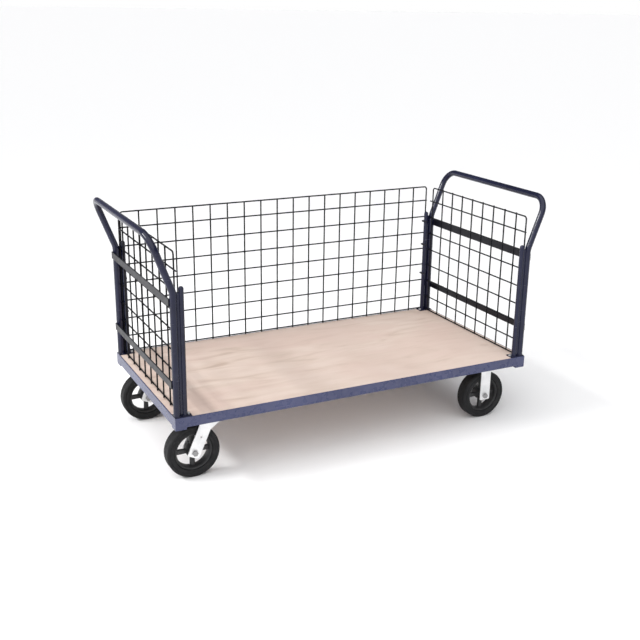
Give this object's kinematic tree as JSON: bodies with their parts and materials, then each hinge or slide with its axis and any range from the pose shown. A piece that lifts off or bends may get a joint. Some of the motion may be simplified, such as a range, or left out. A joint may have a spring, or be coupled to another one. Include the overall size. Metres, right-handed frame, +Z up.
{
  "type": "flatbed platform truck",
  "caption": "Low flatbed truck with a push handle at each end, a fixed wire back, lift-out wire end panels, one open side, and swivel and rigid wheels under a plywood deck.",
  "frame": {"origin": "on the floor under the middle of the deck", "axes": "+X along the length towards the rigid casters, +Y across towards the fixed wire back, +Z up"},
  "size_m": [1.6766, 0.75, 0.9447],
  "materials": {
    "plywood": "smooth light birch plywood",
    "navy_paint": "satin navy enamel",
    "rail_paint": "satin blue enamel",
    "dark_paint": "satin near-black enamel",
    "black_wire": "satin black coated wire",
    "zinc": "bright zinc plated steel",
    "bolt_steel": "plain plated steel",
    "black_iron": "black painted cast iron",
    "black_rubber": "moulded black rubber"
  },
  "bodies": {
    "root": {"deck_board": "plywood", "deck_screws": "zinc", "stringers": "navy_paint", "corner_pads": "rail_paint", "front_rail": "rail_paint", "back_rail": "rail_paint", "left_rail": "rail_paint", "right_rail": "rail_paint", "left_bolster": "navy_paint", "left_handle": "navy_paint", "left_lower_crossbar": "dark_paint", "left_upper_crossbar": "dark_paint", "right_bolster": "navy_paint", "right_handle": "navy_paint", "right_lower_crossbar": "dark_paint", "right_upper_crossbar": "dark_paint", "back_panel": "black_wire", "panel_clips": "dark_paint", "slot_strips": "navy_paint", "foot_bolts": "zinc", "caster_bolts": "zinc", "front_left_slot_post": "navy_paint", "front_left_foot_plate": "navy_paint", "front_left_caster_plate": "zinc", "front_right_slot_post": "navy_paint", "front_right_foot_plate": "navy_paint", "front_right_caster_plate": "zinc", "front_right_fork": "zinc", "front_right_axle": "bolt_steel", "back_left_slot_post": "navy_paint", "back_left_foot_plate": "navy_paint", "back_left_caster_plate": "zinc", "back_right_slot_post": "navy_paint", "back_right_foot_plate": "navy_paint", "back_right_caster_plate": "zinc", "back_right_fork": "zinc", "back_right_axle": "bolt_steel", "front_left_king_pin": "bolt_steel", "back_left_king_pin": "bolt_steel"},
    "left_panel": {"left_panel": "black_wire"},
    "right_panel": {"right_panel": "black_wire"},
    "front_left_wheel": {"front_left_hub": "black_iron", "front_left_tyre": "black_rubber", "front_left_bearing": "bolt_steel"},
    "front_right_wheel": {"front_right_hub": "black_iron", "front_right_tyre": "black_rubber", "front_right_bearing": "bolt_steel"},
    "back_left_wheel": {"back_left_hub": "black_iron", "back_left_tyre": "black_rubber", "back_left_bearing": "bolt_steel"},
    "back_right_wheel": {"back_right_hub": "black_iron", "back_right_tyre": "black_rubber", "back_right_bearing": "bolt_steel"},
    "front_left_swivel": {"front_left_fork": "zinc", "front_left_axle": "bolt_steel", "front_left_race_balls": "bolt_steel"},
    "back_left_swivel": {"back_left_fork": "zinc", "back_left_axle": "bolt_steel", "back_left_race_balls": "bolt_steel"}
  },
  "joints": [
    {"name": "front_left_swivel_turn", "type": "hinge", "parent": "root", "child": "front_left_swivel", "pos_m": [-0.613, -0.286, 0.224], "axis": [0, 0, 1], "continuous": true},
    {"name": "front_left_wheel_spin", "type": "hinge", "parent": "front_left_swivel", "child": "front_left_wheel", "pos_m": [-0.674, -0.286, 0.1016], "axis": [0, 1, 0], "continuous": true},
    {"name": "front_right_wheel_spin", "type": "hinge", "parent": "root", "child": "front_right_wheel", "pos_m": [0.613, -0.286, 0.1016], "axis": [0, 1, 0], "continuous": true},
    {"name": "back_left_swivel_turn", "type": "hinge", "parent": "root", "child": "back_left_swivel", "pos_m": [-0.613, 0.286, 0.224], "axis": [0, 0, 1], "continuous": true},
    {"name": "back_left_wheel_spin", "type": "hinge", "parent": "back_left_swivel", "child": "back_left_wheel", "pos_m": [-0.674, 0.286, 0.1016], "axis": [0, 1, 0], "continuous": true},
    {"name": "back_right_wheel_spin", "type": "hinge", "parent": "root", "child": "back_right_wheel", "pos_m": [0.613, 0.286, 0.1016], "axis": [0, 1, 0], "continuous": true},
    {"name": "left_panel_lift", "type": "slide", "parent": "root", "child": "left_panel", "axis": [0, 0, 1], "range_m": [0, 0.49]},
    {"name": "right_panel_lift", "type": "slide", "parent": "root", "child": "right_panel", "axis": [0, 0, 1], "range_m": [0, 0.49]}
  ]
}
